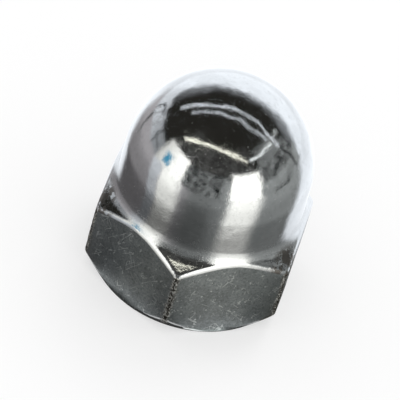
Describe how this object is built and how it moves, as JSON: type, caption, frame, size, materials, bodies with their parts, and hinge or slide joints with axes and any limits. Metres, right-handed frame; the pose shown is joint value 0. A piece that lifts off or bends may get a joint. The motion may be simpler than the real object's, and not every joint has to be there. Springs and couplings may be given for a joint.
{
  "type": "cap nut",
  "caption": "Domed hexagon cap nut: closed crown, shoulder chamfered into the flats, and a tapped blind hole that opens in the flat bearing face.",
  "frame": {"origin": "centre of the bearing face, on the thread's axis", "axes": "+Z along the thread's axis from the bearing face to the crown; two corners of the hexagon lie on the Y axis and two flats face along X"},
  "size_m": [0.013, 0.015, 0.015],
  "materials": {
    "plated_steel": "polished"
  },
  "bodies": {
    "root": {"cap_nut": "plated_steel"}
  },
  "joints": []
}
